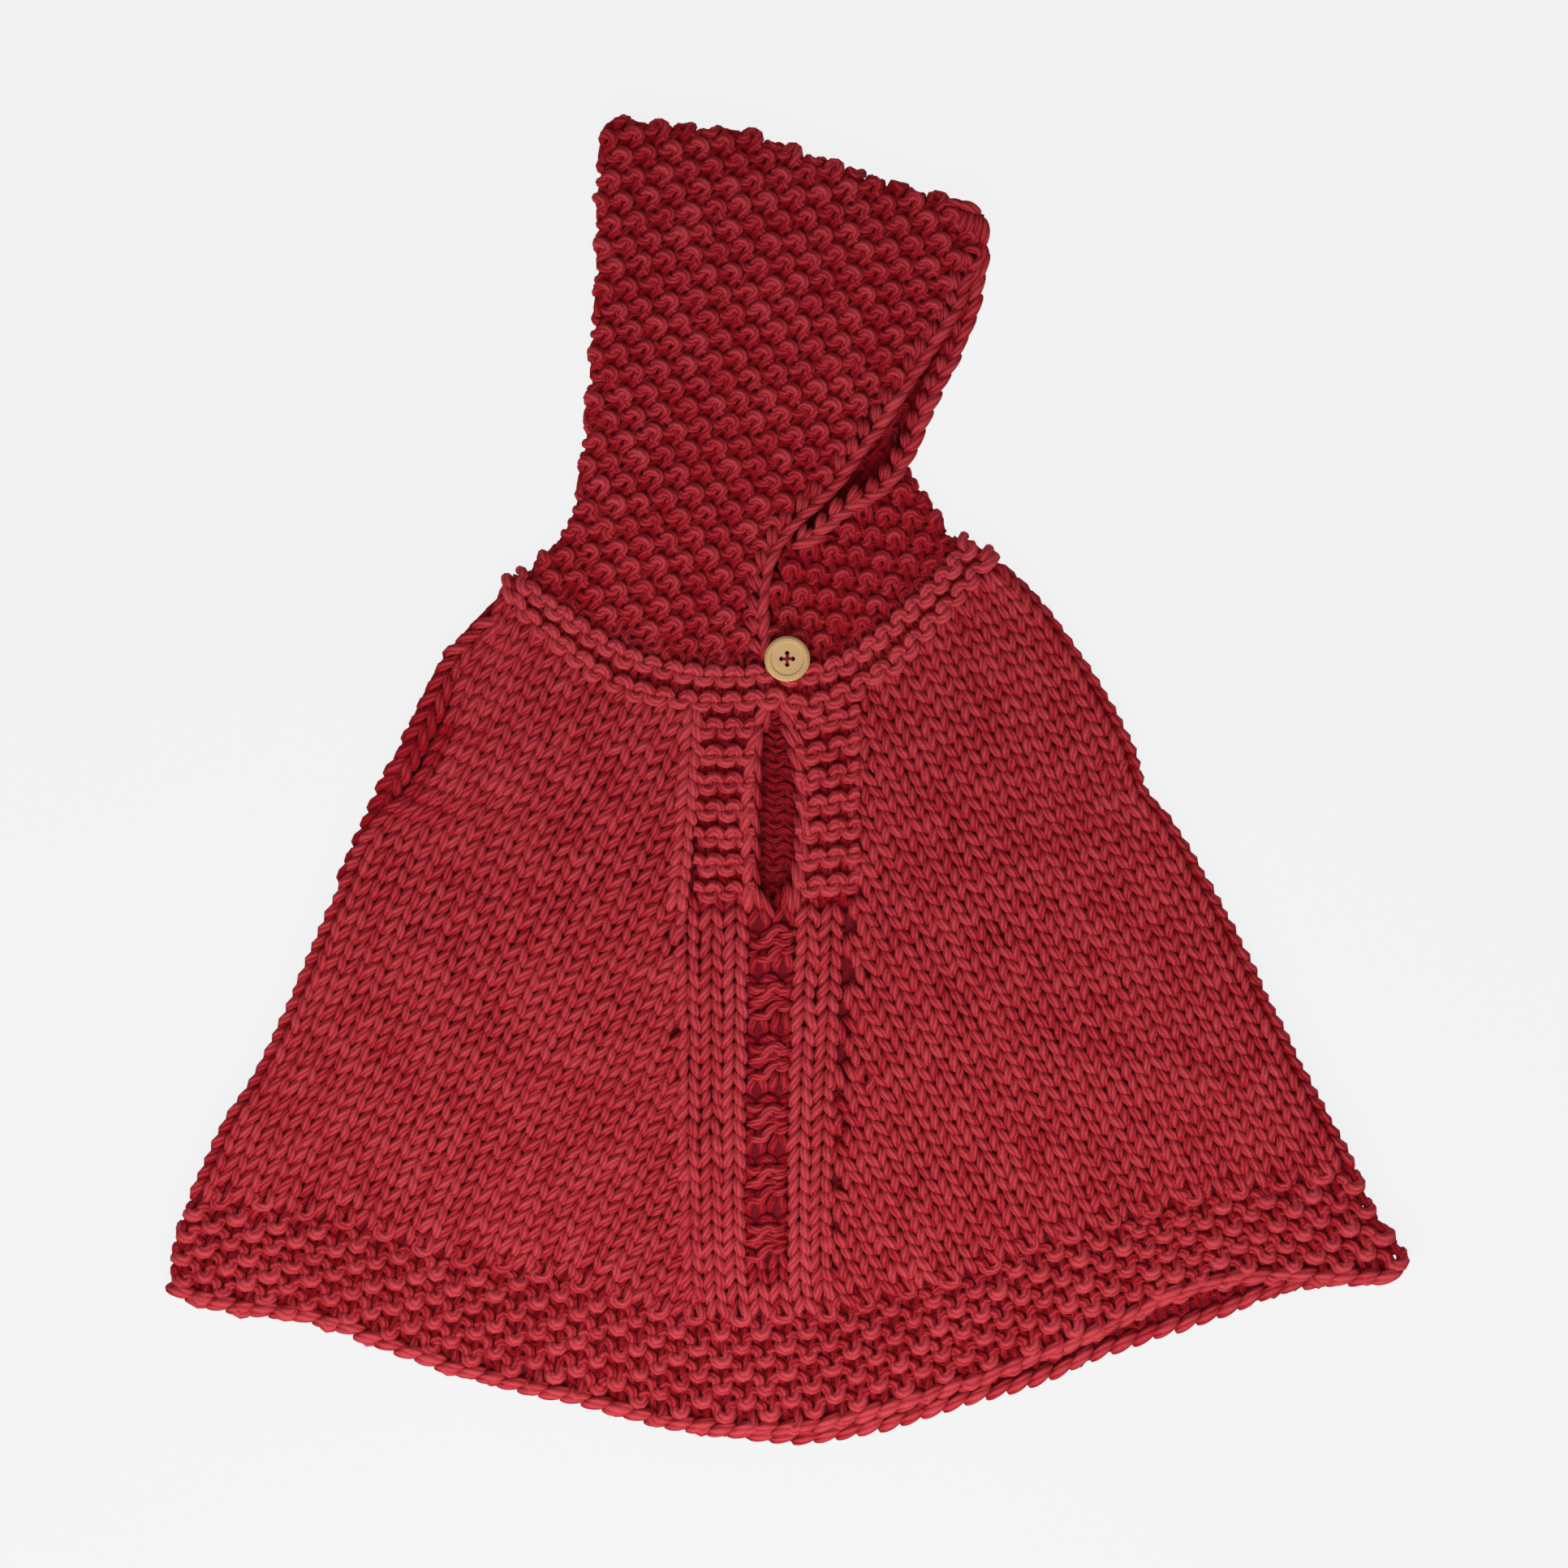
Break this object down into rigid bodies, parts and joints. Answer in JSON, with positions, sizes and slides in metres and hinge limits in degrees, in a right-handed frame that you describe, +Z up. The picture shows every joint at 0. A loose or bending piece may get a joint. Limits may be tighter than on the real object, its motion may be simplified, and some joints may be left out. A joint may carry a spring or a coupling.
{
  "type": "hooded poncho",
  "caption": "Child's hooded poncho, chunky hand-knit, laid flat: seed-stitch hood and hems, garter neckband and slit plackets, ladder panel down the front, wooden button at the throat.",
  "frame": {"origin": "under the middle of the garment's outline, on the surface that it lies on", "axes": "+Z up from the surface, through the back and then the front; +Y from hem to hood; +X to the right of the front as seen from above"},
  "size_m": [0.545, 0.5869, 0.018],
  "materials": {
    "red_wool": "chunky soft plied wool, matt with a light halo of fibres",
    "light_wood": "smooth satin wood with fine grain"
  },
  "bodies": {
    "root": {"back_hem": "red_wool", "back_panel": "red_wool", "button": "light_wood", "collar_back": "red_wool", "collar_left": "red_wool", "collar_right": "red_wool", "front_centre_band": "red_wool", "front_hem": "red_wool", "front_left_panel": "red_wool", "front_right_panel": "red_wool", "hood_far_side": "red_wool", "hood_near_side": "red_wool", "hood_neck_right": "red_wool", "placket_left": "red_wool", "placket_right": "red_wool"}
  },
  "joints": []
}
